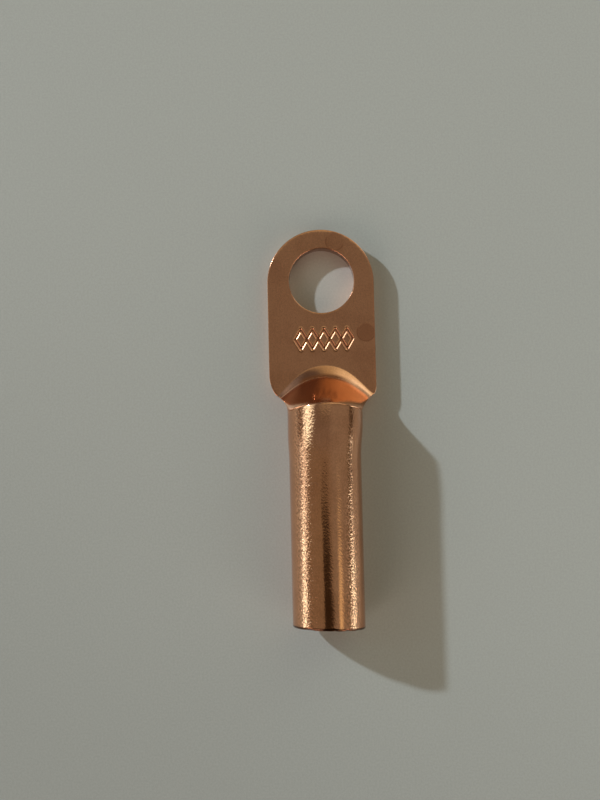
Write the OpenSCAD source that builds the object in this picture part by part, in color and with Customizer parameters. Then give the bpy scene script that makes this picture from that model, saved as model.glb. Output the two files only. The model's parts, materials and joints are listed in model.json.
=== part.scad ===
// Copper cable lug formed from one length of round tube: a straight bored barrel,
// a closed pressed slope, and a flat pierced palm. Millimetres, +Z up.
// Origin: centre of the bolt hole on the palm's back. +X runs towards the barrel's mouth.

/* [Palm] */
// Diameter of the bolt hole
hole_d = 10.5; // [8:0.1:13]
// Width of the flattened palm
palm_w = 17.2; // [15:0.1:22]
// Thickness of the palm, two tube walls pressed together
palm_t = 2.8; // [2:0.1:4]
// Distance from the bolt hole's centre back to the centre of the tip's round
tip_back = 0.3; // [0:0.1:3]
// Sideways offset of the trimmed palm from the barrel's axis
palm_shift = -0.15; // [-0.5:0.05:0.5]
// Radius of the trimmed corners where the palm meets the slope
corner_r = 4; // [2:0.5:6]

/* [Slope] */
// Distance from the bolt hole's centre to the foot of the slope, on the middle line
foot_x = 13.8; // [11:0.1:18]
// How far the foot line bows back at the palm's corners
foot_bow = 4.6; // [2:0.1:7]
// Steepness of the pressed slope, in degrees
slope_deg = 58.6; // [40:0.1:75]
// Radius of the fillet along the foot of the slope
foot_r = 3.6; // [0.5:0.1:4]
// Sharp turn at the foot line, where the fillet starts, in degrees
foot_crease = 9; // [0:1:20]
// How far the slope's top edge bows back at the sides of the barrel
edge_bow = 0.9; // [0:0.1:2]

/* [Barrel] */
// Outside diameter of the barrel
barrel_d = 11.4; // [9:0.1:15]
// Diameter of the cable socket
bore_d = 8.5; // [6:0.1:11]
// Length of the barrel from the slope's top edge to its mouth
barrel_len = 35.3; // [20:0.1:60]
// How much wider than the barrel the pressed neck is
neck_wide = 0.5; // [0:0.05:1]
// How much lower than the barrel the pressed neck is
neck_low = 0.45; // [0:0.05:1]

/* [Edges] */
// Edge break round the palm
palm_edge = 0.2; // [0.1:0.05:0.4]
// Edge break at both ends of the bolt hole
hole_edge = 0.15; // [0.05:0.05:0.4]
// Edge break outside the barrel's mouth
mouth_edge = 0.3; // [0.1:0.05:0.6]
// Edge break inside the barrel's mouth
bore_edge = 0.25; // [0.1:0.05:0.5]

/* [Hidden] */

copper = [0.72, 0.42, 0.28];
tip_r = palm_w / 2;
rim = palm_edge;
bar_r = barrel_d / 2;
bore_r = bore_d / 2;
wall = bar_r - bore_r;

// The neck: an oval a little wider and lower than the barrel, on the same base line.
neck_y = bar_r + neck_wide / 2;
neck_z = bar_r - neck_low / 2;

// The slope's outline in the middle plane.
rise = 2 * neck_z - palm_t;
fil_run = foot_r * (sin(slope_deg) - sin(foot_crease));
fil_rise = foot_r * (cos(foot_crease) - cos(slope_deg));
run = fil_run + (rise - fil_rise) / tan(slope_deg);
neck_x = foot_x + run;
edge_x = neck_x + edge_bow;
fil_t = fil_run / run;

// Where the palm plate, the formed length, the socket and the barrel hand over.
plate_x = foot_x - 0.3;
round_x = edge_x + 7.9;
ease_x = edge_x + 2.3;
bore_x = edge_x + 5.8;
mouth_x = neck_x + barrel_len;

// The foot line's end at the trimmed corner.
corner_x = foot_x + foot_bow;
corner_a = min(corner_r * 0.55, corner_x - plate_x - 0.6);
corner_y = tip_r - (corner_r - sqrt(corner_r * corner_r - corner_a * corner_a));

// Counts of the formed length's rings and of the points round each ring.
nt = 32;
ns = 4;
nb = 22;
nl = 2 * ns + nb + 1;
ring_n = nt + 1 + nl;
flat_rows = [0, 0.35, 0.55, 0.7, 0.85, 1];
slope_rows = [for (k = [1:3]) fil_t * k / 3, for (k = [1:5]) fil_t + (1 - fil_t) * k / 5];
ease_rows = [0.34, 0.67, 1];
round_rows = [0.2, 0.4, 0.6, 0.8, 1];

function mix(a, b, k) = a + (b - a) * k;
function smooth(k) = let (c = max(0, min(1, k))) c * c * (3 - 2 * c);

// Half width of the trimmed outline at x, up to the foot line's end.
function trim_y(x) = let (a = x - (corner_x - corner_a))
    a <= 0 ? tip_r : tip_r - (corner_r - sqrt(corner_r * corner_r - a * a));

// Height of the slope at fraction t of its run, as a fraction of its rise.
function climb(t) = t <= fil_t
    ? (foot_r * cos(foot_crease) - sqrt(foot_r * foot_r - pow(t * run + foot_r * sin(foot_crease), 2))) / rise
    : (fil_rise + (t - fil_t) * run * tan(slope_deg)) / rise;

// Across a ring: g is -1 at one side and 1 at the other, s is its height share.
function across(j, n) = sin(-90 + 180 * j / n);
function height(g) = sqrt(max(0, 1 - g * g));

// Oval of the neck and barrel at x. It ends a seating allowance inside the barrel's round.
seat = 0.04;
function oval_k(x) = smooth((x - ease_x) / (round_x - ease_x));
function oval_y(x) = mix(neck_y, bar_r - seat, oval_k(x));
function oval_z(x) = mix(neck_z, bar_r - seat, raise_k(x));
function oval_mid(x) = mix(neck_z, bar_r, raise_k(x));
// The crown rises to the barrel's height from the slope's top edge on, fastest at first.
function raise_k(x) = let (u = max(0, min(1, (x - neck_x) / (round_x - neck_x)))) 1 - (1 - u) * (1 - u);

// Side outline of the slope, from the trimmed corner to the neck, bent inwards.
function bend(a, c, b, t) = (1 - t) * (1 - t) * a + 2 * t * (1 - t) * c + t * t * b;
side_cx = mix(corner_x, edge_x, 0.5);
side_cy = mix(corner_y, neck_y, 0.92);
function side_x(t) = bend(corner_x, side_cx, edge_x, t);
function side_y(t) = bend(corner_y, side_cy, neck_y, t);

// Points on top of a ring.
function flat_top(k) = let (x1 = mix(plate_x, corner_x, k), w = (k == 1 ? corner_y : trim_y(x1) - rim))
    [for (j = [0:nt]) let (g = across(j, nt), foot = foot_x + foot_bow * g * g)
        [mix(plate_x, foot, k), w * g, palm_t]];
function slope_top(t) = [for (j = [0:nt])
    let (g = across(j, nt), e = pow(g, 4),
         ax = foot_x + foot_bow * g * g, ex = neck_x + edge_bow * g * g,
         y = mix(mix(corner_y, neck_y, t) * g, side_y(t) * sign(g), e),
         z_end = neck_z + neck_z * height(g))
    [mix(mix(ax, ex, t), side_x(t), e), abs(g) < 1 ? y : side_y(t) * sign(g),
     palm_t + (z_end - palm_t) * mix(climb(t), smooth(t), e)]];
function oval_top(x_of, k) = [for (j = [0:nt])
    let (g = across(j, nt), ex = neck_x + edge_bow * g * g, x = mix(ex, x_of, k))
    [x, oval_y(x) * g, oval_mid(x) + oval_z(x) * height(g)]];

// Points under a ring: a trimmed plate's sides and back, shared out into the oval's lower half.
function low_plate(m, w) = m <= ns
    ? [w, mix(palm_t - rim, rim, (m - 1) / (ns - 1))]
    : m > ns + nb + 1 ? [-w, mix(rim, palm_t - rim, (m - ns - nb - 2) / (ns - 1))]
    : [(w - rim) * cos(180 * (m - ns - 1) / nb), 0];
function low_oval(m, w, z, mid) = [w * cos(180 * m / (nl + 1)), mid - z * sin(180 * m / (nl + 1))];
function low(x, w, z, mid, k) = [for (m = [1:nl])
    let (p = low_plate(m, w), q = low_oval(m, w, z, mid)) [x, mix(p[0], q[0], k), mix(p[1], q[1], k)]];

// Whole rings: sideways offset fades out up the slope.
function moved(pts, dy) = [for (p = pts) [p[0], p[1] + dy, p[2]]];
function under_k(x) = smooth((x - corner_x + 1.6) / (edge_x + 1.4 - corner_x + 1.6));
function flat_ring(k) = let (x = mix(plate_x, corner_x, k))
    moved(concat(flat_top(k), low(x, k == 1 ? corner_y + rim / 2 : trim_y(x),
        neck_z, neck_z, under_k(x))), palm_shift);
function slope_ring(t) = moved(concat(slope_top(t),
    low(side_x(t), side_y(t), neck_z, neck_z, under_k(side_x(t)))), palm_shift * (1 - t));
function oval_ring(x, k) = let (xs = mix(edge_x, x, k))
    concat(oval_top(x, k), low(xs, oval_y(xs), oval_z(xs), oval_mid(xs), under_k(xs)));

outer_rings = concat(
    [for (k = flat_rows) flat_ring(k)],
    [for (t = slope_rows) slope_ring(t)],
    [for (k = ease_rows) oval_ring(ease_x, k)],
    [for (k = round_rows) oval_ring(mix(ease_x, round_x, k), 1)]);

// The closing cavity: the bore's circle squeezed into a flat slit along the slope's foot.
gap = 0.05;
mid_z = palm_t / 2;
slit_x = foot_x + fil_run + max(0, (mid_z + wall / cos(slope_deg) - palm_t - fil_rise) / tan(slope_deg));
slit_y = min(bore_r * PI / 2, corner_y - wall * 0.9);
slit_bow = max(0.5, corner_x + 0.2 - slit_x);
in_edge_x = neck_x + wall * (1 / cos(slope_deg) - 1) / tan(slope_deg);
in_y = neck_y - wall;
in_z = neck_z - wall;
nc = 24;
cav_n = 2 * nc;
slit_rows = [0, 0.2, 0.4, 0.6, 0.8, 1];
bore_rows = [0.25, 0.5, 0.75, 1];

function cav_ring(x_a, bow, w, z_mid, z_up, z_dn, flat_k) = concat(
    [for (j = [0:nc]) let (g = across(j, nc)) [x_a + bow * g * g, w * g, z_mid + z_up * height(g)]],
    [for (j = [nc - 1:-1:1]) let (g = across(j, nc))
        [x_a + bow, w * g, z_mid - mix(gap, z_dn * height(g), flat_k)]]);
function slit_ring(t) = let (k = smooth(t * 0.9))
    cav_ring(mix(slit_x, in_edge_x, t), mix(slit_bow, edge_bow, t), mix(slit_y, in_y, smooth(t)),
        mix(mid_z, neck_z, t), mix(gap, in_z, t), mix(gap, in_z, t), t == 0 ? 0 : mix(0.3, 1, t));
function bore_ring(k) = cav_ring(mix(in_edge_x, bore_x, k), edge_bow * (1 - k), mix(in_y, bore_r - seat, smooth(k)),
    mix(neck_z, bar_r, smooth(k)), mix(in_z, bore_r - seat, smooth(k)), mix(in_z, bore_r - seat, smooth(k)), 1);
cavity_rings = concat([for (t = slit_rows) slit_ring(t)], [for (k = bore_rows) bore_ring(k)]);

// Triangles between rings of n points, first ring's points listed first.
function skin(rows, n) = [for (r = [0:rows - 2]) for (j = [0:n - 1])
    let (a = r * n + j, b = r * n + (j + 1) % n, c = a + n, d = b + n)
    each [[a, b, c], [b, d, c]]];
function flatten(v) = [for (a = v) each a];

module formed_length() {
    last = (len(outer_rings) - 1) * ring_n;
    polyhedron(points = flatten(outer_rings), faces = concat(
        skin(len(outer_rings), ring_n),
        [[for (j = [ring_n - 1:-1:0]) j]],
        [[for (j = [0:ring_n - 1]) last + j]]));
}

module closing_cavity() {
    last = (len(cavity_rings) - 1) * cav_n;
    polyhedron(points = flatten(cavity_rings), faces = concat(
        skin(len(cavity_rings), cav_n),
        [[0, cav_n - 1, 1]],
        [for (j = [1:nc - 2]) each [[j, cav_n - j, j + 1], [j + 1, cav_n - j, cav_n - j - 1]]],
        [[nc - 1, nc + 1, nc]],
        [[for (j = [0:cav_n - 1]) last + j]]));
}

module palm_plate() {
    translate([tip_back, palm_shift, 0]) {
        rotate([0, 0, 90]) rotate_extrude(angle = 180, $fn = 96)
            polygon([[0, 0], [tip_r - rim, 0], [tip_r, rim], [tip_r, palm_t - rim], [tip_r - rim, palm_t],
                [0, palm_t]]);
        rotate([90, 0, 90]) linear_extrude(plate_x - tip_back)
            polygon([[rim - tip_r, 0], [tip_r - rim, 0], [tip_r, rim], [tip_r, palm_t - rim],
                [tip_r - rim, palm_t], [rim - tip_r, palm_t], [-tip_r, palm_t - rim], [-tip_r, rim]]);
    }
}

module straight_barrel() {
    len_b = mouth_x - round_x;
    translate([round_x, 0, bar_r]) rotate([0, 90, 0]) rotate_extrude($fn = 96)
        polygon([[0, 0], [bar_r, 0], [bar_r, len_b - mouth_edge],
            [bar_r - mouth_edge * 0.3, len_b - mouth_edge * 0.3], [bar_r - mouth_edge, len_b], [0, len_b]]);
}

module bolt_hole() {
    translate([0, 0, -1]) cylinder(h = palm_t + 2, d = hole_d, $fn = 96);
    translate([0, 0, palm_t - hole_edge])
        cylinder(h = 2 * hole_edge, r1 = hole_d / 2, r2 = hole_d / 2 + 2 * hole_edge, $fn = 96);
    translate([0, 0, -hole_edge])
        cylinder(h = 2 * hole_edge, r1 = hole_d / 2 + 2 * hole_edge, r2 = hole_d / 2, $fn = 96);
}

module cable_socket() {
    translate([bore_x, 0, bar_r]) rotate([0, 90, 0]) {
        cylinder(h = mouth_x - bore_x + 1, d = bore_d, $fn = 96);
        translate([0, 0, mouth_x - bore_x - bore_edge])
            cylinder(h = 2 * bore_edge, r1 = bore_r, r2 = bore_r + 2 * bore_edge, $fn = 96);
    }
    closing_cavity();
}

module cable_lug() {
    color(copper) difference() {
        union() {
            palm_plate();
            formed_length();
            straight_barrel();
        }
        bolt_hole();
        cable_socket();
    }
}

cable_lug();
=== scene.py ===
import json
import math
from types import SimpleNamespace

import bmesh
import bpy
import numpy as np
from bpy.props import FloatProperty, FloatVectorProperty, PointerProperty
from mathutils import Matrix, Vector
from mathutils.geometry import delaunay_2d_cdt


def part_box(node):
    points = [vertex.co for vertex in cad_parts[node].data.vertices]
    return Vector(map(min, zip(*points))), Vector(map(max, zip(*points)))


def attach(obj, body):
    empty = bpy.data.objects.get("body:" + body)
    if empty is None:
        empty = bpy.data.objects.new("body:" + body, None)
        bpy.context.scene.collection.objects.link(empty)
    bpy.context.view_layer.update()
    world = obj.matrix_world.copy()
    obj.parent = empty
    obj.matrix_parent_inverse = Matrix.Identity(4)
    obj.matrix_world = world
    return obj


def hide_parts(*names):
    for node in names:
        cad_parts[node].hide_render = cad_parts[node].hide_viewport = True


bl_info = {
    "name": "Copper cable lug",
    "version": (1, 0, 0),
    "blender": (4, 5, 0),
    "location": "3D View > Sidebar > Cable lug",
    "description": "Builds a pressed copper cable lug with its finish, table and lights",
    "category": "Object",
}

# Sizes are in millimetres, apart from those that say metres. The lug lies along x with its
# bolt hole round the z axis; a side is -1 for the left (low y) and 1 for the right.
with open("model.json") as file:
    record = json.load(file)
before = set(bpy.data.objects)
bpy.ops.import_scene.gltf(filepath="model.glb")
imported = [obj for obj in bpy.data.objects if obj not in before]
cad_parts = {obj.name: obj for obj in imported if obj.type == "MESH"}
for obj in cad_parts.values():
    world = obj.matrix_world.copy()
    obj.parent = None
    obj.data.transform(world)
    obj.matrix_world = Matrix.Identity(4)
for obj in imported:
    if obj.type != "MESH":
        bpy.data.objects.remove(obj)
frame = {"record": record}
MM = 0.001
MOUNTS = {m["name"]: m for m in frame["record"]["mounts"]}
CAD_LOW, CAD_HIGH = (Vector(c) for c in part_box("cable_lug"))
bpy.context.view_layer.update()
HOLE_R = MOUNTS["bolt_hole"]["dims"]["r_mm"]
SOCKET_R = MOUNTS["cable_socket"]["dims"]["r_mm"]
BARREL_R = MOUNTS["barrel_outside"]["dims"]["r_mm"]
PALM_T = MOUNTS["palm_front"]["pos_m"][2] / MM
TIP_X, LEFT_Y = CAD_LOW.x / MM, CAD_LOW.y / MM
MOUTH_X, RIGHT_Y = CAD_HIGH.x / MM, CAD_HIGH.y / MM

CORNER_X = 18.4  # where the palm's sides end
TRIMS = {-1: (15.2, 5.5), 1: (17.2, 2.6)}  # start and radius of each trimmed corner
SHOULDERS = {-1: (19.7, -5.9), 1: (20.0, 6.2)}  # what each side of the slope bends towards
BARREL_SHIFT = -0.14  # sideways place of the barrel's axis
RIM_INNER_R = 0.22  # round inside the mouth's edge
SLIT_GAP = 0.012  # half the slit's height where the two walls meet

STAMP = ((7.95, -4.45), (11.05, 4.85))  # corners of the stamped ornament
STAMP_COUNT = 5
STAMP_FIELD = ((7.0, -5.3), (11.9, 5.6))  # corners of the face's finely divided part
# Spacing of the points in the stamped strokes, over the rest of the face and over the back
FINE_STEP, FACE_STEP, BACK_STEP = 0.085, 0.3, 0.9
# Round press marks on the palm: x, y, radius, depth, strength of their redder tone
DISCS = ((8.5, 7.0, 1.45, 0.008, 0.5), (-6.3, 2.3, 1.45, 0.004, 0.2))
# Places on the barrel: along it and round it, measured on the skin from the top
RIDGE = ((32.8, -4.1), (33.2, -2.95), (32.7, -1.75), (33.4, -1.15), (34.3, -1.0), (36.6, -1.0), (40.0, -1.05))
SCRATCH = ((50.5, 2.3), (51.0, 2.35), (51.05, 2.9))
# Nicks in the mouth's top edge: y, half width, depth
NICKS = ((-3.3, 0.5, 0.14), (2.6, 0.35, 0.12), (0.6, 0.3, 0.05), (4.3, 0.3, 0.06))

X, Y, Z = (1, 0, 0), (0, 1, 0), (0, 0, 1)


def length(name, description, default):
    """A length, given here in millimetres and kept by Blender in metres"""
    metres = default * MM
    return FloatProperty(
        name=name,
        description=description,
        default=metres,
        min=0,
        precision=5,
        subtype="DISTANCE",
        unit="LENGTH",
    )


def angle(name, description, default):
    """An angle, given here in degrees"""
    radians = math.radians(default)
    return FloatProperty(
        name=name, description=description, default=radians, min=0, subtype="ANGLE", unit="ROTATION"
    )


def number(name, description, default):
    return FloatProperty(name=name, description=description, default=default, min=0, precision=3)


def fraction(name, description, default):
    return FloatProperty(
        name=name, description=description, default=default, min=0, max=1, precision=3, subtype="FACTOR"
    )


def tone(name, description, default):
    return FloatVectorProperty(
        name=name, description=description, default=default, size=3, min=0, max=1, subtype="COLOR"
    )


class LugForm(bpy.types.PropertyGroup):
    """Sizes of the lug's detail; the main sizes come from the frame"""

    foot_x: length("Slope foot", "Bolt hole centre to the foot of the slope", 13.8)
    foot_side: length("Foot offset", "Sideways place of the foot line's nearest point", 0.25)
    foot_bow: number("Foot bow", "Curvature of the foot line, per millimetre", 0.078)
    edge_x: length("Slope top", "Bolt hole centre to the slope's top edge", 20.28)
    slope: angle("Slope", "Steepness of the slope", 58.6)
    fillet: length("Fillet", "Radius along the foot of the slope", 3.6)
    crease: angle("Crease", "Sudden turn at the foot of the slope", 9.0)
    neck_wide: length("Neck width", "Extra width of the pressed neck", 0.5)
    neck_low: length("Neck height", "Height the pressed neck has lost", 0.45)
    plate_edge: length("Palm edge", "Radius of the palm's trimmed edges", 0.08)
    mouth_edge: length("Mouth edge", "Radius outside the barrel's mouth", 0.3)
    mouth_skew: length("Mouth skew", "How far the cut end is off square", 0.5)
    stamp_depth: length("Stamp depth", "Depth of the stamped ornament", 0.12)
    stamp_stroke: length("Stamp stroke", "Width of the stamped strokes", 0.52)


class LugFinish(bpy.types.PropertyGroup):
    """Colours and sheen of the bare copper"""

    copper: tone("Copper", "Clean copper", (0.78, 0.39, 0.22))
    tarnish: tone("Tarnish", "Copper under its first brown film", (0.70, 0.34, 0.19))
    # the stain tone also serves, darkened, as painted shade at the mouth's rim and in the cuts
    stain_and_shade: tone("Stain", "Redder copper in the round marks", (0.5, 0.2, 0.1))
    roughness: fraction("Barrel roughness", "Mean roughness of the barrel", 0.085)
    palm_roughness: fraction("Palm roughness", "Mean roughness of the palm", 0.15)
    slope_roughness: fraction("Slope roughness", "Mean roughness of the pressed slope", 0.06)
    dimple: length("Dimples", "Depth of the tumbling dimples", 0.033)


class StageLook(bpy.types.PropertyGroup):
    """Table, lights and camera"""

    table: tone("Table", "Colour of the table", (0.328, 0.333, 0.302))
    key: number("Key light", "Strength of the small lamp", 2.98)
    key_tint: tone("Key tint", "Colour of the small lamp", (0.74, 0.87, 1.0))
    key_width: angle("Key width", "Angle across the small lamp", 2.5)
    key_from: FloatVectorProperty(
        name="Key from",
        description="Where the small lamp stands",
        size=3,
        default=(-1.0, -1.5, 1.0),
        subtype="DIRECTION",
    )
    room: number("Room light", "Strength of the room's soft light", 1.0)
    camera_at: FloatVectorProperty(
        name="Camera",
        description="Place of the camera",
        size=3,
        default=(32.4 * MM, -4.2 * MM, 215.7 * MM),
        subtype="TRANSLATION",
        unit="LENGTH",
    )
    lens: FloatProperty(
        name="Lens",
        description="Focal length of the camera",
        default=59.76,
        min=1,
        subtype="DISTANCE_CAMERA",
        unit="CAMERA",
    )


def own_properties(group):
    """The group's own properties by name, without the two that every group has"""
    return {key: prop for key, prop in group.bl_rna.properties.items() if key not in ("rna_type", "name")}


def in_millimetres(group):
    """The group's values, with the lengths in millimetres"""
    values = {}
    for key, prop in own_properties(group).items():
        scale = MM if prop.unit == "LENGTH" else 1
        values[key] = getattr(group, key) / scale
    return SimpleNamespace(**values)


def smooth(k):
    k = np.clip(k, 0.0, 1.0)
    return k * k * (3 - 2 * k)


def mix(a, b, k):
    return a + (b - a) * k


def bend(a, c, b, t):
    """Quadratic curve from a to b, pulled towards c"""
    return (1 - t) ** 2 * a + 2 * t * (1 - t) * c + t * t * b


def bell(distance, width):
    """Bell-shaped rise of height 1 along a line"""
    return np.exp(-((distance / width) ** 2))


class Shell:
    """Gathers patches of one closed skin and welds them where they meet"""

    def __init__(self):
        self.points, self.faces, self.count = [], [], 0

    def add(self, points, faces):
        self.points.append(points)
        self.faces += [tuple(i + self.count for i in f) for f in faces]
        self.count += len(points)

    def grid(self, rows, closed=False, flip=False):
        """Quads between rows of points, each row a ring if closed"""
        rows = np.asarray(rows, float)
        r, c = rows.shape[:2]
        faces = []
        for i in range(r - 1):
            for j in range(c if closed else c - 1):
                a, b = i * c + j, i * c + (j + 1) % c
                quad = (a, b, b + c, a + c)
                faces.append(quad[::-1] if flip else quad)
        self.add(rows.reshape(-1, 3), faces)

    def mesh(self, name):
        """The welded skin, which has to be closed"""
        me = bpy.data.meshes.new(name)
        me.from_pydata((np.vstack(self.points) * MM).tolist(), [], self.faces)
        bm = bmesh.new()
        bm.from_mesh(me)
        bmesh.ops.remove_doubles(bm, verts=bm.verts, dist=2e-6)
        bmesh.ops.dissolve_degenerate(bm, dist=1e-7, edges=bm.edges)
        bmesh.ops.recalc_face_normals(bm, faces=bm.faces)
        for f in bm.faces:
            f.smooth = True
        open_edges = sum(not e.is_manifold for e in bm.edges)
        bm.to_mesh(me)
        bm.free()
        if open_edges:
            raise RuntimeError(f"{name} has {open_edges} open edges")
        return me


class LugShape:
    """The lug's surfaces as functions of place along it (x) and across it (y)"""

    TOP, LOW = 160, 112  # steps round a section's top and round the rest of it
    EDGE_STEPS, WALL_STEPS = 4, 4
    # From the slope's top edge to the first row square to the axis, and to where the barrel is round
    BLEND_RUN, ROUND_RUN = 3.2, 9.0

    def __init__(self, form):
        self.f = form = in_millimetres(form)
        self.half = (RIGHT_Y - LEFT_Y) / 2
        self.mid = (RIGHT_Y + LEFT_Y) / 2
        self.neck_y = BARREL_R + form.neck_wide / 2
        self.neck_z = BARREL_R - form.neck_low / 2
        self.ease_x, self.round_x = form.edge_x + self.BLEND_RUN, form.edge_x + self.ROUND_RUN
        v = np.linspace(-1, 1, self.TOP + 1)
        self.g = np.sin(v * math.pi / 2)
        self.g[0], self.g[-1] = -1.0, 1.0
        self.up = np.sqrt(np.maximum(0, 1 - self.g**2))
        self.rise = 2 * self.neck_z - PALM_T
        self.run = form.edge_x - form.foot_x
        self.fillet_rise = form.fillet * (math.cos(form.crease) - math.cos(form.slope))
        self.fillet_share = form.fillet * (math.sin(form.slope) - math.sin(form.crease)) / self.run

    def climb(self, t):
        """Share of the rise reached at t: fillet first, then a slope that is steepest half way up"""
        r, crease = self.f.fillet, self.f.crease
        x = np.clip(t, 0, self.fillet_share) * self.run + r * math.sin(crease)
        low = r * math.cos(crease) - np.sqrt(r**2 - np.minimum(x, r * 0.999) ** 2)
        u = (t - self.fillet_share) / (1 - self.fillet_share)
        bulge = 0.875 * u + 0.1875 * (2 * u * u - 4 * u**3 / 3) - 0.075 * (u * u - u)
        high = self.fillet_rise + (self.rise - self.fillet_rise) * bulge
        return np.where(t < self.fillet_share, low, high) / self.rise

    # Plan outlines
    def foot(self, y):
        """The line where the slope rises from the palm, nearest to the hole at its middle"""
        return self.f.foot_x + self.f.foot_bow * (y - self.f.foot_side) ** 2

    def trim(self, x, side):
        """Half width of the palm at its trimmed corner on one side"""
        start, radius = TRIMS[side]
        a = np.clip(x - start, 0, radius * 0.95)
        return self.half - (radius - np.sqrt(radius**2 - a * a))

    def corner_y(self, side):
        return self.mid + side * float(self.trim(CORNER_X, side))

    def outline(self):
        """Palm outline from the left corner round the tip to the right corner, with outward directions"""
        r, cx = self.half, TIP_X + self.half
        left_bend, right_bend = TRIMS[-1][0] - 0.2, TRIMS[1][0] - 0.2
        left = np.concatenate([np.linspace(CORNER_X, left_bend, 24), np.linspace(left_bend, cx, 90)[1:]])
        right = np.concatenate([np.linspace(cx, right_bend, 96), np.linspace(right_bend, CORNER_X, 14)[1:]])
        arc = np.linspace(-math.pi / 2, math.pi / 2, 150)[1:-1]
        pts = [(x, self.mid - float(self.trim(x, -1))) for x in left]
        pts += [(cx - r * math.cos(b), self.mid + r * math.sin(b)) for b in arc]
        pts += [(x, self.mid + float(self.trim(x, 1))) for x in right]
        pts = np.array(pts)
        d = np.gradient(pts, axis=0)
        out = np.stack([d[:, 1], -d[:, 0]], 1)
        out /= np.linalg.norm(out, axis=1)[:, None]
        out *= np.sign((out * (pts - [cx, self.mid])).sum(1))[:, None]
        for end, side in ((0, -1), (len(pts) - 1, 1)):
            for n in range(4):
                j = end - side * n
                out[j] = mix(np.array([0.0, side]), out[j], n / 4)
        return pts, out

    def edge_profile(self, r):
        """(inset, height) pairs from the top face over the edge and down to the back face"""
        a = np.linspace(0, math.pi / 2, self.EDGE_STEPS + 1)
        top = [(r * (1 - math.sin(b)), PALM_T - r * (1 - math.cos(b))) for b in a]
        wall = [(0, z) for z in np.linspace(PALM_T - r, r, self.WALL_STEPS + 1)[1:-1]]
        back = [(i, PALM_T - z) for i, z in reversed(top)]
        return top + wall + back

    # Sections
    def side(self, t, s):
        """Plan point of the slope's side outline at fraction t"""
        y0, y1 = self.corner_y(s), s * self.neck_y
        cx, cy = SHOULDERS[s]
        return bend(CORNER_X, cx, self.top_edge(y1), t), bend(y0, cy, y1, t)

    def top_edge(self, y):
        """The line where the slope meets the barrel, bowed back at its sides and more so on the right"""
        return self.f.edge_x + 0.025 * y * y - 0.02 * y + 0.014 * np.clip(y, 0, 4) ** 2

    def lay(self, x):
        """Sideways place of the barrel's axis"""
        return BARREL_SHIFT * smooth((x - 22.5) / 5)

    def oval(self, x):
        """Half width and half height of the section at x"""
        k = smooth((x - self.ease_x) / (self.round_x - self.ease_x))
        u = np.clip((x - self.f.edge_x) / (self.round_x - self.f.edge_x), 0, 1)
        return mix(self.neck_y, BARREL_R, k), mix(self.neck_z, BARREL_R, 1 - (1 - u) ** 2)

    def under_share(self, x):
        """0 where the underside is the palm's flat back, 1 where it is the barrel's round"""
        return smooth((x - CORNER_X) / 3.6)

    def low_points(self, x, left, right, share, oy, oz):
        """Side, back and side again, from the right edge of the top to the left one"""
        prof = self.edge_profile(self.f.plate_edge)[1:]
        n = self.LOW - 2 * len(prof)
        plate = [(right - i, z) for i, z in prof]
        a, b = plate[-1][0], left + prof[-1][0]
        ang = np.linspace(0, math.pi, n + 1)[1:-1]
        plate += [(mix((a + b) / 2, a, math.cos(q)), 0.0) for q in ang]
        plate += [(left + i, z) for i, z in reversed(prof)]
        plate = np.array(plate)
        q = np.linspace(0, math.pi, len(plate) + 2)[1:-1]
        oval = np.stack([oy * np.cos(q), oz - oz * np.sin(q)], 1)
        p = mix(plate, oval, share)
        return np.column_stack([np.full(len(p), x), p])

    def slope_row(self, t):
        """Section at fraction t of the slope, from its foot line to its top edge"""
        g = self.g
        edge_r = self.f.plate_edge
        inset = edge_r * (1 - smooth(t * 3))
        xl, sl = self.side(t, -1)
        xr, sr = self.side(t, 1)
        al, ar = self.corner_y(-1) + edge_r, self.corner_y(1) - edge_r
        ay = np.where(g < 0, -g * al, g * ar)
        ax = mix(self.foot(ay), CORNER_X, np.abs(g) ** 6)
        ey = g * self.neck_y
        x, y = mix(ax, self.top_edge(ey), t), mix(ay, ey, t)
        bound_x = np.where(g < 0, xl, xr)
        bound_y = np.where(g < 0, sl + inset, sr - inset)
        edge = np.abs(g) ** 5
        x, y = mix(x, bound_x, edge), mix(y, bound_y, edge)
        z_end = self.neck_z * (1 + self.up)
        z = PALM_T + (z_end - PALM_T) * mix(self.climb(np.full_like(g, t)), smooth(t), edge)
        xs = (xl + xr) / 2
        low = self.low_points(xs, sl, sr, self.under_share(xs), self.neck_y, self.neck_z)
        low[:, 0] = mix(xr, xl, (low[:, 1] - sr) / (sl - sr))
        return np.vstack([np.column_stack([x, y, z]), low])

    def barrel_row(self, x, k):
        """Ring at x; k below 1 bends its top forward to the slope's edge"""
        g = self.g
        tx = mix(self.top_edge(g * self.neck_y), x, k)
        oy, oz = self.oval(tx)
        skew = smooth((x - 47.0) / (MOUTH_X - 49.0))
        top = np.column_stack([tx, self.lay(tx) + oy * g, oz * (1 + self.up)])
        arc = BARREL_R * np.arcsin(g)
        swell = barrel_marks(tx, arc) * smooth((1.45 - np.abs(arc / BARREL_R)) / 0.3)
        top[:, 1] += swell * g - 0.004 * g
        top[:, 2] += swell * self.up - 0.004 * self.up
        top[:, 0] += skew * (mouth_x(top[:, 1], self.f) - MOUTH_X)
        q = np.linspace(0, math.pi, self.LOW + 1)[1:-1]
        xs = mix(tx[-1], tx[0], q / math.pi)
        oy, oz = self.oval(xs)
        oval = np.column_stack([xs, self.lay(xs) + oy * np.cos(q), oz * (1 - np.sin(q))])
        round_share = self.under_share(xs)[:, None]
        if round_share.min() < 1:
            flat = self.low_points(xs[0], -self.neck_y, self.neck_y, 0.0, 1, 1)
            flat[:, 0] = xs
            oval = mix(flat, oval, round_share)
        oval[:, 0] += skew * (mouth_x(oval[:, 1], self.f) - MOUTH_X)
        return np.vstack([top, oval])


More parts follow.
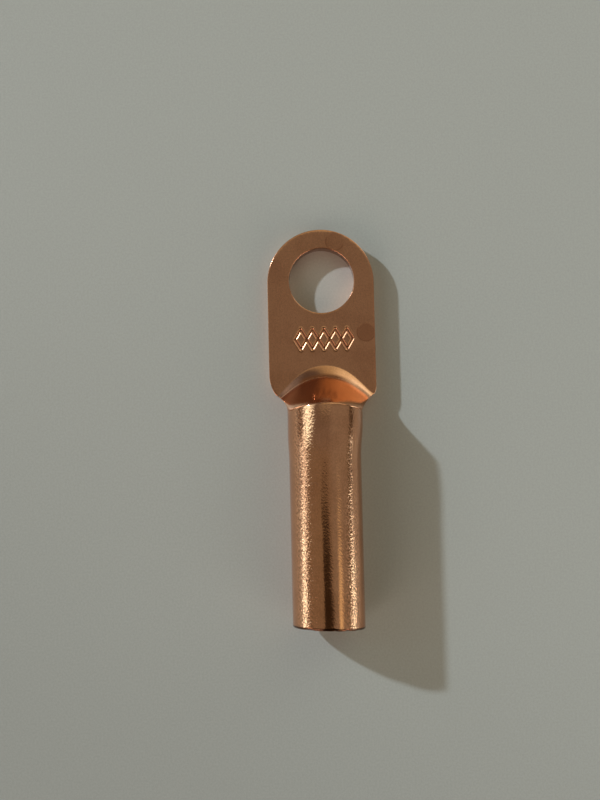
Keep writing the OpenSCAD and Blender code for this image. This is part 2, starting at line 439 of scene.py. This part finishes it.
# The palm
def stamp_strokes():
    """Centre lines of a plain stamped ornament: two crossing zigzags that make a chain of lozenges"""
    (x0, y0), (x1, y1) = STAMP
    ys = np.linspace(y0, y1, 2 * STAMP_COUNT + 1)
    xm = (x0 + x1) / 2
    return [[(xm if i % 2 == 0 else x, y) for i, y in enumerate(ys)] for x in (x0, x1)]


def stroke_distance(p, strokes):
    """Distance of each point from the nearest of some broken lines"""
    best = np.full(len(p), 1e9)
    for line in strokes:
        for a, b in zip(line[:-1], line[1:]):
            a, b = np.array(a), np.array(b)
            d = b - a
            t = np.clip(((p - a) @ d) / (d @ d), 0, 1)
            best = np.minimum(best, np.linalg.norm(p - a - t[:, None] * d, axis=1))
    return best


def palm_relief(p, form):
    """Height added to the palm's face at plan points p"""
    z = 0.006 * np.sin(0.55 * p[:, 0] + 0.4) * np.cos(0.5 * p[:, 1])
    d = stroke_distance(p, stamp_strokes())
    half = form.stamp_stroke / 2
    z -= form.stamp_depth * smooth((half + 0.06 - d) / 0.32)
    z += 0.022 * bell(d - half - 0.12, 0.1)
    for cx, cy, r, deep, _ in DISCS:
        e = np.hypot(p[:, 0] - cx, p[:, 1] - cy)
        z -= deep * smooth((r - e) / 0.12)
        z -= 0.004 * bell(e - r, 0.08)
    return z


def clear_of(points, others, gap):
    """Those of the points that are at least gap from all the others, on a coarse hash"""
    cells = {}
    for x, y in others:
        cells.setdefault((int(x // gap), int(y // gap)), []).append((x, y))
    keep = []
    for x, y in points:
        i, j = int(x // gap), int(y // gap)
        near = (q for a in (-1, 0, 1) for b in (-1, 0, 1) for q in cells.get((i + a, j + b), ()))
        if all((x - qx) ** 2 + (y - qy) ** 2 >= gap * gap for qx, qy in near):
            keep.append((x, y))
    return keep


def hex_points(lo, hi, step):
    """Evenly spaced points in rows that are offset from one another"""
    ys = np.arange(lo[1], hi[1], step * 0.866)
    return [(x + (k % 2) * step / 2, y) for k, y in enumerate(ys) for x in np.arange(lo[0], hi[0], step)]


def disc_rings():
    """Points on five rings round the edge of each round press mark"""
    rings = []
    for cx, cy, r, *_ in DISCS:
        for q in (r - 0.14, r - 0.07, r, r + 0.07, r + 0.14):
            b = np.linspace(0, 2 * math.pi, int(q * 48))[:-1]
            rings += list(zip(cx + q * np.cos(b), cy + q * np.sin(b)))
    return np.array(rings)


def inside(poly, p):
    """Even-odd test of points p against a closed polygon"""
    x, y = p[:, 0], p[:, 1]
    hit = np.zeros(len(p), bool)
    for (x0, y0), (x1, y1) in zip(np.roll(poly, 1, axis=0), poly):
        if y0 != y1:
            hit ^= ((y0 > y) != (y1 > y)) & (x < (x1 - x0) * (y - y0) / (y1 - y0) + x0)
    return hit


def within(loop, hole, points):
    """Those of the points that lie on the palm: inside its loop and outside its hole"""
    p = np.asarray(points)
    return p[inside(loop, p) & ~inside(hole, p)]


def as_pairs(*loops):
    return [tuple(p) for p in np.vstack(loops)]


def fill_plate(loop, hole, extra):
    """Triangles over a closed loop less a hole, through the extra points"""
    n, m = len(loop), len(hole)
    edges = [(i, (i + 1) % n) for i in range(n)] + [(n + i, n + (i + 1) % m) for i in range(m)]
    points = [Vector(p) for p in np.vstack([loop, hole])] + [Vector(p) for p in extra]
    out = delaunay_2d_cdt(points, edges, [], 0, 1e-7, False)
    verts = np.array([(v.x, v.y) for v in out[0]])
    faces = np.array([f[:3] for f in out[2]])
    mid = verts[faces].mean(1)
    keep = inside(loop, mid) & ~inside(hole, mid)
    return verts, faces[keep]


def palm_front(shell, shape, rim, hole, arch):
    """The stamped face, with fine triangles where the ornament and the round marks are"""
    f = shape.f
    loop = np.vstack([rim, arch[::-1][1:-1]])
    fixed = as_pairs(loop, hole)
    fine = np.array(hex_points(*STAMP_FIELD, FINE_STEP))
    fine = fine[stroke_distance(fine, stamp_strokes()) < f.stamp_stroke / 2 + 0.32]
    coarse = hex_points(loop.min(0), loop.max(0), FACE_STEP)
    chosen = clear_of(within(loop, hole, fine), fixed, 0.07)
    chosen += clear_of(within(loop, hole, disc_rings()), fixed + chosen, 0.055)
    chosen += clear_of(within(loop, hole, coarse), fixed + chosen, 0.16)
    verts, faces = fill_plate(loop, hole, chosen)
    edge = np.array(fixed)
    away = np.array([np.min(np.hypot(edge[:, 0] - x, edge[:, 1] - y)) for x, y in verts])
    height = PALM_T + palm_relief(verts, f) * smooth(away / 0.35)
    shell.add(np.column_stack([verts, height]), faces.tolist())


def palm_back(shell, shape, rim, hole, line):
    loop = np.vstack([rim, line[1:-1]])
    coarse = hex_points(loop.min(0), loop.max(0), BACK_STEP)
    chosen = clear_of(within(loop, hole, coarse), as_pairs(loop, hole), 0.4)
    verts, faces = fill_plate(loop, hole, [p for p in chosen if p[0] < CORNER_X - 0.3])
    shell.add(np.column_stack([verts, np.zeros(len(verts))]), faces.tolist())


def palm_patches(shell, shape):
    """The palm's sides, the hole's wall and both faces"""
    r = shape.f.plate_edge
    pts, out = shape.outline()
    prof = shape.edge_profile(r)
    shell.grid([np.column_stack([pts - out * i, np.full(len(pts), z)]) for i, z in prof])
    angles = np.linspace(0, 2 * math.pi, 161)[:-1]
    ring = np.column_stack([np.cos(angles), np.sin(angles)])
    wall = [np.column_stack([ring * (HOLE_R + i), np.full(len(ring), z)]) for i, z in prof]
    shell.grid(wall, closed=True, flip=True)
    rim, hole = pts - out * r, ring * (HOLE_R + r)
    foot = shape.slope_row(0.0)[:, :2]
    arch, back = foot[: shape.TOP + 1], foot[shape.TOP + 1 :]
    side = len(prof) - 2
    palm_front(shell, shape, rim, hole, arch)
    palm_back(shell, shape, rim, hole, back[side : len(back) - side])


# The barrel
def mouth_x(y, form):
    """Place of the cut end: square to the axis but for a small skew"""
    return MOUTH_X - form.mouth_skew * np.clip((BARREL_R - y) / (2 * BARREL_R), 0, 1)


def barrel_marks(x, arc):
    """Radial offset of the skin: long waves of the drawn tube, one raised tool line and a scratch"""
    place = np.column_stack([x, arc])
    wave = 0.002 * np.sin(0.9 * x + 0.8 * arc) + 0.002 * np.sin(1.7 * arc - 0.5 * x + 1.0)
    line = 0.012 * smooth((41.0 - x) / 4.0) * bell(stroke_distance(place, [RIDGE]), 0.17)
    scratch = 0.01 * bell(stroke_distance(place, [SCRATCH]), 0.13)
    return (wave + line + scratch) * smooth((x - 22.0) / 3.0) * smooth((54.6 - x) / 2.0)


def outer_rows(shape):
    """Sections of the outside, from the foot of the slope to the mouth's edge"""
    fil = shape.fillet_share
    close_to_foot, close_to_top = [0.0, 0.012, 0.03], [0.99]
    over_fillet, up_slope = np.linspace(0, fil, 12)[1:], np.linspace(fil, 0.975, 16)[1:]
    rows = [shape.slope_row(t) for t in sorted({*close_to_foot, *over_fillet, *up_slope, *close_to_top})]
    crest = shape.barrel_row(shape.ease_x, 0.0)
    crest[:, 2] -= 0.012 * np.clip(crest[:, 2] - shape.neck_z, 0, 1)
    rows.append(crest)
    forward = [0.015, 0.045, 0.15] + list(np.linspace(0.15, 1, 9)[1:])
    rows += [shape.barrel_row(shape.ease_x, k) for k in forward]
    plain = np.arange(shape.ease_x + 0.4, MOUTH_X - shape.f.mouth_edge - 0.25, 0.36)
    at_ridge, at_scratch = np.arange(32.2, 34.6, 0.12), np.arange(50.3, 51.4, 0.1)
    xs = np.unique(np.concatenate([plain, at_ridge, at_scratch]).round(3))
    rows += [shape.barrel_row(x, 1.0) for x in xs]
    return rows


def round_unit(shape):
    """Unit circle with as many points as a section and in the same order"""
    q = np.concatenate([np.arcsin(shape.g), math.pi / 2 + np.linspace(0, math.pi, shape.LOW + 1)[1:-1]])
    return np.column_stack([np.sin(q), np.cos(q)])


def nicked(row, up, share):
    """Presses the nicks into a ring near the mouth's edge"""
    for at, wide, deep in NICKS:
        dent = share * deep * smooth(up * 3) * bell(row[:, 1] - at, wide)
        row[:, 0] -= dent
        row[:, 2] -= 0.5 * dent
    return row


def mouth_rows(shape):
    """Over the mouth's rim and down the straight bore"""
    f = shape.f
    r = f.mouth_edge
    unit = round_unit(shape)
    cy = float(shape.lay(MOUTH_X))

    def ring(x, radius):
        y = cy + radius * unit[:, 0]
        return np.column_stack([x + mouth_x(y, f) - MOUTH_X, y, BARREL_R + radius * unit[:, 1]])

    rows = [ring(MOUTH_X - r - 0.2, BARREL_R)]
    for a in np.linspace(0, math.pi / 2, 7):
        edge = ring(MOUTH_X - r + r * math.sin(a), BARREL_R - r + r * math.cos(a))
        rows.append(nicked(edge, unit[:, 1], 0.4 + 0.6 * math.sin(a)))
    inner = RIM_INNER_R
    for radius in np.linspace(BARREL_R - r, SOCKET_R + inner, 5)[1:]:
        rows.append(ring(MOUTH_X, radius))
    for a in np.linspace(0, math.pi / 2, 5)[1:]:
        rows.append(ring(MOUTH_X - inner + inner * math.cos(a), SOCKET_R + inner - inner * math.sin(a)))
    for x in np.linspace(MOUTH_X - 1.2, bore_end(shape), 30):
        y = float(shape.lay(x)) + SOCKET_R * unit[:, 0]
        rows.append(np.column_stack([np.full(len(y), x), y, BARREL_R + SOCKET_R * unit[:, 1]]))
    return rows


def bore_end(shape):
    """Where the straight bore ends and the pressed neck begins"""
    return shape.f.edge_x + 6.7


def slit_rows(shape):
    """From the straight bore through the neck into the closing slit"""
    unit = round_unit(shape)
    wall = BARREL_R - SOCKET_R
    end, neck_x = bore_end(shape), shape.f.edge_x + 0.9
    slit_x, slit_y = shape.f.foot_x + 1.95, 6.6
    neck_y, neck_z = shape.neck_y - wall, shape.neck_z - wall
    neck_bow, slit_bow = 0.9, 2.8
    rows = []
    for k in np.linspace(0, 1, 9)[1:]:
        w, h = mix(SOCKET_R, neck_y, smooth(k)), mix(SOCKET_R, neck_z, smooth(k))
        zc = mix(BARREL_R, shape.neck_z, smooth(k))
        at = mix(end, neck_x, k)
        y = float(shape.lay(at)) * (1 - k) + w * unit[:, 0]
        rows.append(np.column_stack([at + neck_bow * k * unit[:, 0] ** 2, y, zc + h * unit[:, 1]]))
    top = shape.TOP + 1
    for k in np.linspace(0, 1, 13)[1:]:
        w, h = mix(neck_y, slit_y, smooth(k)), mix(neck_z, SLIT_GAP, k)
        zc = mix(shape.neck_z, PALM_T / 2, k)
        at, bow = mix(neck_x, slit_x, k), mix(neck_bow, slit_bow, k)
        x = at + bow * unit[:, 0] ** 2
        x[top:] = mix(at + bow, x[top:], k)
        rows.append(np.column_stack([x, w * unit[:, 0], zc + h * unit[:, 1]]))
    return rows


def cap_faces(ring, top):
    """Closes the slit's end: top points zipped to the lower ones from right to left"""
    upper = list(range(top))
    lower = [upper[0]] + list(range(len(ring) - 1, top - 1, -1)) + [upper[-1]]
    faces, i, j = [], 0, 0
    while i < len(upper) - 1 or j < len(lower) - 1:
        yu = ring[upper[min(i + 1, len(upper) - 1)]][1]
        yl = ring[lower[min(j + 1, len(lower) - 1)]][1]
        if j == len(lower) - 1 or (i < len(upper) - 1 and yu <= yl):
            tri = (upper[i], upper[i + 1], lower[j])
            i += 1
        else:
            tri = (upper[i], lower[j + 1], lower[j])
            j += 1
        if len(set(tri)) == 3:
            faces.append(tri)
    return faces


def lug_mesh(form):
    shape = LugShape(form)
    shell = Shell()
    palm_patches(shell, shape)
    rows = outer_rows(shape) + mouth_rows(shape) + slit_rows(shape)
    shell.grid(rows, closed=True)
    shell.add(rows[-1], cap_faces(rows[-1], shape.TOP + 1))
    return shell.mesh("copper_lug")


class Nodes:
    """Short hand for building a node tree"""

    def __init__(self, tree):
        self.tree, self.new, self.link = tree, tree.nodes.new, tree.links.new

    def feed(self, socket, value):
        if isinstance(value, bpy.types.NodeSocket):
            self.link(value, socket)
        else:
            socket.default_value = value

    def maths(self, op, *values):
        node = self.new("ShaderNodeMath")
        node.operation = op
        for socket, value in zip(node.inputs, values):
            self.feed(socket, value)
        return node.outputs[0]

    def plus(self, a, b):
        return self.maths("ADD", a, b)

    def minus(self, a, b):
        return self.maths("SUBTRACT", a, b)

    def times(self, first, *rest):
        for value in rest:
            first = self.maths("MULTIPLY", first, value)
        return first

    def hypot(self, a, b):
        return self.maths("POWER", self.plus(self.maths("POWER", a, 2.0), self.maths("POWER", b, 2.0)), 0.5)

    def step(self, value, start, end):
        """0 at start and 1 at end, eased; start may be the larger"""
        node = self.new("ShaderNodeMapRange")
        node.interpolation_type = "SMOOTHSTEP"
        self.feed(node.inputs["Value"], value)
        self.feed(node.inputs["From Min"], start)
        self.feed(node.inputs["From Max"], end)
        return node.outputs["Result"]

    def step_mm(self, value, start, end):
        return self.step(value, start * MM, end * MM)

    def blend(self, fac, a, b, kind="MIX"):
        node = self.new("ShaderNodeMix")
        node.data_type, node.blend_type = "RGBA", kind
        self.feed(node.inputs["Factor"], fac)
        for socket, value in ((node.inputs[6], a), (node.inputs[7], b)):
            self.feed(socket, (*value, 1) if isinstance(value, tuple) else value)
        return node.outputs[2]

    def tint(self, fac, colour, by):
        """Multiplies the colour where fac is 1"""
        return self.blend(fac, colour, self.blend(1.0, colour, by, "MULTIPLY"))

    def dot(self, vector, axis):
        node = self.new("ShaderNodeVectorMath")
        node.operation = "DOT_PRODUCT"
        self.link(vector, node.inputs[0])
        node.inputs[1].default_value = axis
        return node.outputs["Value"]

    def xyz(self, x, y, z):
        node = self.new("ShaderNodeCombineXYZ")
        for socket, value in zip(node.inputs, (x, y, z)):
            self.feed(socket, value)
        return node.outputs[0]

    def noise(self, vector, scale, detail=2.0, rough=0.5):
        node = self.new("ShaderNodeTexNoise")
        self.link(vector, node.inputs["Vector"])
        node.inputs["Scale"].default_value = scale
        node.inputs["Detail"].default_value = detail
        node.inputs["Roughness"].default_value = rough
        return node.outputs["Fac"]

    def bump(self, height, distance, normal=None):
        node = self.new("ShaderNodeBump")
        node.inputs["Distance"].default_value = distance
        self.link(height, node.inputs["Height"])
        if normal:
            self.link(normal, node.inputs["Normal"])
        return node.outputs["Normal"]


def shade(colour, k):
    return tuple(k * c for c in colour)


def new_material(name):
    """A material with its node helper, its shader and the place on the object"""
    mat = bpy.data.materials.new(name)
    mat.use_nodes = True
    n = Nodes(mat.node_tree)
    place = n.new("ShaderNodeTexCoord").outputs["Object"]
    return mat, n, mat.node_tree.nodes["Principled BSDF"], place


class CopperSkin:
    """Colour, sheen and bump of bare copper: pressed smooth on palm and slope, tumbled on the barrel"""

    LEAN = 0.7  # of the dimples to the barrel's axis, in radians
    STRETCH = 0.7
    # strength of the painted shade at the mouth's rim, and how much of it the cut face loses
    BURN, BURN_ON_FACE = 0.95, 0.55
    # strength of the painted shade in the cuts
    CUT_SHADE = 0.9

    def __init__(self, n, place, form, finish):
        self.n, self.place, self.form, self.finish = n, place, form, finish
        self.x, self.y, self.z = (n.dot(place, axis) for axis in (X, Y, Z))
        radius = BARREL_R * MM
        self.angle = n.maths("ARCTAN2", n.plus(self.y, -BARREL_SHIFT * MM), n.minus(self.z, radius))
        self.on_barrel = n.step_mm(self.x, 20.2, 21.4)
        after_foot = n.step_mm(self.x, form.foot_x + 0.2, form.foot_x + 1.0)
        self.on_slope = n.times(after_foot, n.step_mm(self.x, 21.2, 20.2))
        round_way = n.times(self.angle, radius)
        c, s = math.cos(self.LEAN), math.sin(self.LEAN)
        along = n.plus(n.times(self.x, c), n.times(round_way, s))
        across = n.minus(n.times(round_way, c), n.times(self.x, s))
        self.peened = n.xyz(n.times(along, self.STRETCH), across, 0.0)

    def flecks(self):
        """Light and dark flecks along the barrel's two flanks, which fade in along the right one"""
        n = self.n
        side = n.maths("ABSOLUTE", self.angle)
        flanks = n.times(self.on_barrel, n.step(side, 0.4, 0.6), n.step(side, 1.1, 0.9))
        fade_in = n.maths("MAXIMUM", n.step(self.angle, 0.0, -0.1), n.step_mm(self.x, 28.0, 42.0))
        fleck = n.step(n.noise(self.peened, 3400.0, 1.0, 0.5), 0.3, 0.7)
        return n.times(n.times(flanks, fade_in), n.minus(n.times(fleck, 0.7), 0.3))

    def weathered(self):
        """Clean copper clouded by its first film"""
        n = self.n
        cloud = n.step(n.noise(self.place, 230.0, 4.0, 0.6), 0.62, 0.34)
        colour = n.blend(cloud, tuple(self.finish.copper), tuple(self.finish.tarnish))
        mottle = n.step(n.noise(self.place, 3600.0, 2.0, 0.6), 0.25, 0.75)
        mottle = n.plus(n.plus(0.92, n.times(mottle, 0.16)), self.flecks())
        return n.blend(1.0, colour, n.xyz(mottle, mottle, mottle), "MULTIPLY")

    def painted_rim_shade(self):
        """Painted shade: a dark line round the mouth's edge for the shaded table it mirrors, weaker on the
        cut face
        """
        n = self.n
        off_square = n.times(n.minus(BARREL_R * MM, self.y), 0.5 * self.form.mouth_skew / BARREL_R)
        rim = n.plus(self.x, off_square)
        line = n.times(n.step_mm(rim, MOUTH_X - 0.5, MOUTH_X - 0.32), self.BURN)
        return n.minus(line, n.times(n.step_mm(rim, MOUTH_X - 0.05, MOUTH_X - 0.02), self.BURN_ON_FACE))

    def painted_cut_shade(self):
        """Painted shade below the palm's face: in the stamped strokes, the top of the sides and the hole's
        wall at the tip
        """
        n = self.n
        below = n.step_mm(self.z, PALM_T - 0.008, PALM_T - 0.035)
        hole = n.step_mm(n.hypot(self.x, self.y), HOLE_R + 0.35, HOLE_R + 0.15)
        hole_tip = n.times(hole, n.step_mm(self.x, 0.5, -1.5))
        near_top = n.maths("MAXIMUM", n.step_mm(self.z, PALM_T - 1.1, PALM_T - 0.6), hole_tip)
        before_slope = n.step_mm(self.x, self.form.foot_x - 0.4, self.form.foot_x - 0.8)
        return n.times(below, near_top, before_slope, self.CUT_SHADE)

    def painted_slope_reflection(self, low, high, start, end):
        """Mask of painted reflection on the slope above the fillet, growing from one place across it to
        another
        """
        n = self.n
        above, before_barrel = n.step_mm(self.z, low, high), n.step_mm(self.x, 21.0, 20.4)
        return n.times(above, before_barrel, n.step_mm(self.y, start, end))

    def disc_mark(self, cx, cy, r, red):
        """A round press mark: a redder disc, with the groove on its lower half"""
        n = self.n
        far = n.hypot(n.minus(self.x, cx * MM), n.minus(self.y, cy * MM))
        groove = n.step_mm(n.maths("ABSOLUTE", n.minus(far, r * MM)), 0.16, 0.04)
        middle = cx - 0.5 * cy
        lower = n.step_mm(n.dot(self.place, (1, -0.5, 0)), middle - 0.7, middle + 0.5)
        disc = n.times(n.step_mm(far, r, r - 0.2), red)
        mark = n.maths("MAXIMUM", disc, n.times(groove, lower, 0.8))
        return n.times(mark, n.step_mm(self.z, 2.2, 2.6))

    def colour(self):
        n, stain_and_shade = self.n, self.finish.stain_and_shade
        colour = self.weathered()
        # painted shade: a dark line round the mouth's rim
        colour = n.blend(self.painted_rim_shade(), colour, shade(stain_and_shade, 0.15))
        # painted shade: darker copper in the stamped strokes, at the top of the palm's sides and on the
        # hole's wall at the tip
        colour = n.blend(self.painted_cut_shade(), colour, shade(stain_and_shade, 0.6))
        # painted shade: a darker, redder copper on the slope's right part stands in for a darker reflection
        # there
        colour = n.tint(self.painted_slope_reflection(3.8, 4.6, -1.0, 4.0), colour, (0.74, 0.68, 0.55))
        # painted light: a lighter copper on the slope's left corner stands in for a brighter reflection there
        colour = n.tint(self.painted_slope_reflection(3.6, 4.6, -1.5, -5.5), colour, (1.2, 1.4, 1.5))
        for cx, cy, r, _, red in DISCS:
            colour = n.blend(self.disc_mark(cx, cy, r, red), colour, tuple(stain_and_shade))
        return colour

    def roughness(self):
        n, finish = self.n, self.finish
        barrel = n.times(self.on_barrel, finish.roughness - finish.palm_roughness)
        slope = n.times(self.on_slope, finish.palm_roughness - finish.slope_roughness)
        grain = n.times(n.minus(n.noise(self.place, 6500.0, 3.0, 0.7), 0.5), 0.06)
        return n.plus(grain, n.minus(n.plus(barrel, finish.palm_roughness), slope))

    def normal(self):
        """Fine grain all over, stronger on the slope, and dimples that grow along the barrel's flanks"""
        n = self.n
        brushed = n.plus(1.0, n.times(self.on_slope, 6.0))
        fine = n.bump(n.times(n.noise(self.place, 9000.0, 2.0, 0.6), brushed), 1.2e-6)
        flank = n.step(n.maths("ABSOLUTE", n.minus(self.angle, 0.1)), 0.2, 0.5)
        growing = n.plus(0.5, n.times(n.step_mm(self.x, 30.0, 50.0), 0.4))
        to_right = n.plus(1.0, n.times(n.step(self.angle, 0.3, 0.6), 0.4))
        depth = n.times(self.on_barrel, n.plus(0.3, n.times(flank, growing, to_right)))
        dimples = n.times(n.minus(n.noise(self.peened, 3900.0, 1.0, 0.5), 0.5), depth)
        return n.bump(dimples, self.finish.dimple, fine)


def copper_material(form, finish):
    mat, n, bsdf, place = new_material("tumbled_copper")
    skin = CopperSkin(n, place, in_millimetres(form), finish)
    bsdf.inputs["Metallic"].default_value = 1.0
    n.link(skin.colour(), bsdf.inputs["Base Color"])
    n.link(skin.roughness(), bsdf.inputs["Roughness"])
    n.link(skin.normal(), bsdf.inputs["Normal"])
    return mat


def table_material(look):
    """Pale laminate, a little darker on its far side as painted shade, and warmer under the bolt hole as a
    painted pool of light from the hole's wall
    """
    mat, n, bsdf, place = new_material("table_laminate")
    grain = n.step(n.noise(place, 3000.0, 2.0, 0.7), 0.3, 0.7)
    colour = n.blend(grain, shade(look.table, 0.955), shade(look.table, 1.045))
    # painted shade: the table's colour darkens towards its far side, where the light falls off
    painted_falloff = n.step_mm(n.dot(place, (0.76, -0.5, 0)), 5, 95)
    colour = n.tint(painted_falloff, colour, (0.82, 0.82, 0.82))
    # painted light: a warm spot under the bolt hole stands in for light the hole's wall throws onto the table
    from_hole = n.hypot(n.dot(place, X), n.dot(place, Y))
    colour = n.tint(n.step_mm(from_hole, 6.2, 5.0), colour, (1.3, 1.2, 1.17))
    n.link(colour, bsdf.inputs["Base Color"])
    bsdf.inputs["Roughness"].default_value = 0.42
    bsdf.inputs["Specular IOR Level"].default_value = 0.45
    n.link(n.bump(n.noise(place, 4200.0, 3.0, 0.6), 2e-5), bsdf.inputs["Normal"])
    return mat


# Soft light regions of the room: a colour and the edges that bound it, each
# edge an axis with the value where the region starts and where it is full.
SKY = (3.5, 2.8, 2.45)
WINDOW = (0.93, 1.02, 1.02)
BACKDROP = (0.5, 0.51, 0.48)
ACROSS = (0.2, 1, 0)  # from left to right, as the slope mirrors it
RISING = (0, 1, -0.78)
STRIP = ((X, -0.6, -0.36), (X, 0.5, 0.25))
AHEAD = ((X, -0.2, -0.42), ((1.2, 1, 0), 0.06, -0.1), ((1.2, -1, 0), 0.06, -0.1))
LEFT_UP = (1.7, 0, 1)
BAND_LEFT = ((LEFT_UP, 0.09, 0.19), (LEFT_UP, 0.49, 0.37), (Y, -0.4, -0.7), (X, -0.4, -0.28))
BAND_RIGHT = ((Z, 0.23, 0.16), (Y, 0.5, 0.8), (X, 0.02, 0.13))
REGIONS = (
    ("dim strip overhead", (0.23, 0.202, 0.15), STRIP),
    ("over the palm", (0.222, 0.207, 0.175), (*STRIP, (X, -0.03, -0.09))),
    ("over the palm's end", (0.18, 0.166, 0.138), (*STRIP, (X, -0.1, -0.2))),
    ("wall right", (0.26, 0.25, 0.21), (*STRIP, (Y, 0.05, 0.45))),
    ("dark near side", (0.13, 0.1, 0.085), ((X, 0.12, 0.3), (Y, 0.5, 0.3), (Y, -0.5, -0.3))),
    ("ahead", (0.98, 1.02, 0.78), AHEAD),
    ("ahead right", (1.35, 1.55, 1.4), (*AHEAD, (ACROSS, 0.3, 0.46))),
    ("ahead centre", (0.45, 0.42, 0.27), (*AHEAD, (ACROSS, 0.32, -0.1))),
    ("ahead left", (0.12, 0.11, 0.1), (*AHEAD, (ACROSS, -0.06, -0.36))),
    ("low ahead", (0.15, 0.11, 0.07), (*AHEAD, (ACROSS, 0.6, 0.1), (Z, 0.5, 0.1))),
    ("ahead far left", (0.2, 0.215, 0.235), (*AHEAD, ((-0.6, 1, 0), 0.03, -0.05))),
    ("ahead, left end", (0.5, 0.5, 0.5), (*AHEAD, ((-0.84, 1, 0), 0.0, -0.12))),
    ("haze under the band", (0.45, 0.48, 0.48), ((X, -0.12, 0.0), (Y, -0.4, -0.7), (Z, 0.22, 0.1))),
    ("low band left", WINDOW, BAND_LEFT),
    ("low band left, far", (1.8, 2.45, 2.5), (*BAND_LEFT, (X, -0.05, -0.17))),
    ("low band left, near", (2.5, 3.3, 3.4), (*BAND_LEFT, (X, 0.035, 0.105))),
    ("low right, far", (0.08, 0.07, 0.05), ((X, 0.03, -0.03), (Y, 0.5, 0.8), (Z, 0.32, 0.14))),
    ("low band right", (1.5, 1.8, 1.9), BAND_RIGHT),
    ("low band right, near", (2.9, 3.7, 3.8), (*BAND_RIGHT, (X, 0.06, 0.12))),
    ("gold line", (0.92, 0.87, 0.56), ((X, 0.0, 0.12), (RISING, -0.18, -0.03), (RISING, 0.3, 0.0))),
    (
        "rig overhead",
        (0.035, 0.025, 0.014),
        ((X, -0.012, 0.045), ((-2.4, 1, 0), 0.08, -0.06), (Y, -0.29, -0.2), (Z, 0.7, 0.8)),
    ),
)


def room_world(look):
    """The regions laid over one another in order, the later ones on top; the camera sees a plain backdrop"""
    world = bpy.data.worlds.new("room")
    world.use_nodes = True
    n = Nodes(world.node_tree)
    toward = n.new("ShaderNodeTexCoord").outputs["Generated"]
    colour = SKY
    steps = {}
    for _, light, edges in REGIONS:
        for axis, start, end in edges:
            if (axis, start, end) not in steps:
                steps[axis, start, end] = n.step(n.dot(toward, axis), start, end)
        colour = n.blend(n.times(*(steps[edge] for edge in edges)), colour, light)
    seen = n.new("ShaderNodeLightPath").outputs["Is Camera Ray"]
    background = world.node_tree.nodes["Background"]
    n.link(n.blend(seen, colour, BACKDROP), background.inputs["Color"])
    background.inputs["Strength"].default_value = look.room
    return world


TABLE_HALF = 1.5  # metres
SENSOR = 36.0
VIEW_ALONG = Vector((-0.0616, 0.0014, -0.998))
VIEW_UP = Vector((-0.998, 0.0231, 0.0616))


def place_table(scene, look):
    h = TABLE_HALF
    mesh = bpy.data.meshes.new("table")
    mesh.from_pydata([(-h, -h, 0), (h, -h, 0), (h, h, 0), (-h, h, 0)], [], [(0, 1, 2, 3)])
    mesh.materials.append(table_material(look))
    table = bpy.data.objects.new("table", mesh)
    scene.collection.objects.link(table)


def hang_lamp(scene, look):
    sun = bpy.data.lights.new("key", "SUN")
    sun.energy = look.key
    sun.color = look.key_tint
    sun.angle = look.key_width
    lamp = bpy.data.objects.new("key", sun)
    lamp.rotation_mode = "QUATERNION"
    lamp.rotation_quaternion = Vector(look.key_from).to_track_quat("Z", "Y")
    scene.collection.objects.link(lamp)


def set_camera(scene, look):
    cam = bpy.data.cameras.new("camera")
    cam.sensor_width = SENSOR
    cam.lens = look.lens
    cam.clip_start, cam.clip_end = 0.01, 10
    camera = bpy.data.objects.new("camera", cam)
    back = -VIEW_ALONG.normalized()
    right = VIEW_UP.cross(back).normalized()
    up = back.cross(right).normalized()
    turn = Matrix((right, up, back)).transposed().to_4x4()
    camera.matrix_world = Matrix.Translation(look.camera_at) @ turn
    scene.collection.objects.link(camera)
    scene.camera = camera


class CABLELUG_OT_body(bpy.types.Operator):
    """Build the lug's copper skin and give it its finish"""

    bl_idname = "cable_lug.body"
    bl_label = "Build lug"

    def execute(self, context):
        scene = context.scene
        mesh = lug_mesh(scene.lug_form)
        mesh.materials.append(copper_material(scene.lug_form, scene.lug_finish))
        lug = bpy.data.objects.new("copper_lug", mesh)
        scene.collection.objects.link(lug)
        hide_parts("cable_lug")
        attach(lug, "root")
        return {"FINISHED"}


class CABLELUG_OT_stage(bpy.types.Operator):
    """Set the table, the lights and the camera"""

    bl_idname = "cable_lug.stage"
    bl_label = "Set stage"

    def execute(self, context):
        scene, look = context.scene, context.scene.lug_stage
        place_table(scene, look)
        scene.world = room_world(look)
        hang_lamp(scene, look)
        set_camera(scene, look)
        scene.view_settings.view_transform = "Standard"
        return {"FINISHED"}


class CABLELUG_PT_panel(bpy.types.Panel):
    """Lists the lug's sizes and colours, and the two operators"""

    bl_idname = "CABLELUG_PT_panel"
    bl_label = "Cable lug"
    bl_space_type = "VIEW_3D"
    bl_region_type = "UI"
    bl_category = "Cable lug"

    def draw(self, context):
        for name in GROUPS:
            group = getattr(context.scene, name)
            box = self.layout.box()
            for key in own_properties(group):
                box.prop(group, key)
        self.layout.operator("cable_lug.body")
        self.layout.operator("cable_lug.stage")


GROUPS = {"lug_form": LugForm, "lug_finish": LugFinish, "lug_stage": StageLook}
CLASSES = (*GROUPS.values(), CABLELUG_OT_body, CABLELUG_OT_stage, CABLELUG_PT_panel)


def register():
    for c in CLASSES:
        bpy.utils.register_class(c)
    for name, group in GROUPS.items():
        setattr(bpy.types.Scene, name, PointerProperty(type=group))


def unregister():
    for name in GROUPS:
        delattr(bpy.types.Scene, name)
    for c in reversed(CLASSES):
        bpy.utils.unregister_class(c)


def main():
    register()
    bpy.ops.cable_lug.body()
    bpy.ops.cable_lug.stage()


if __name__ == "__main__":
    main()
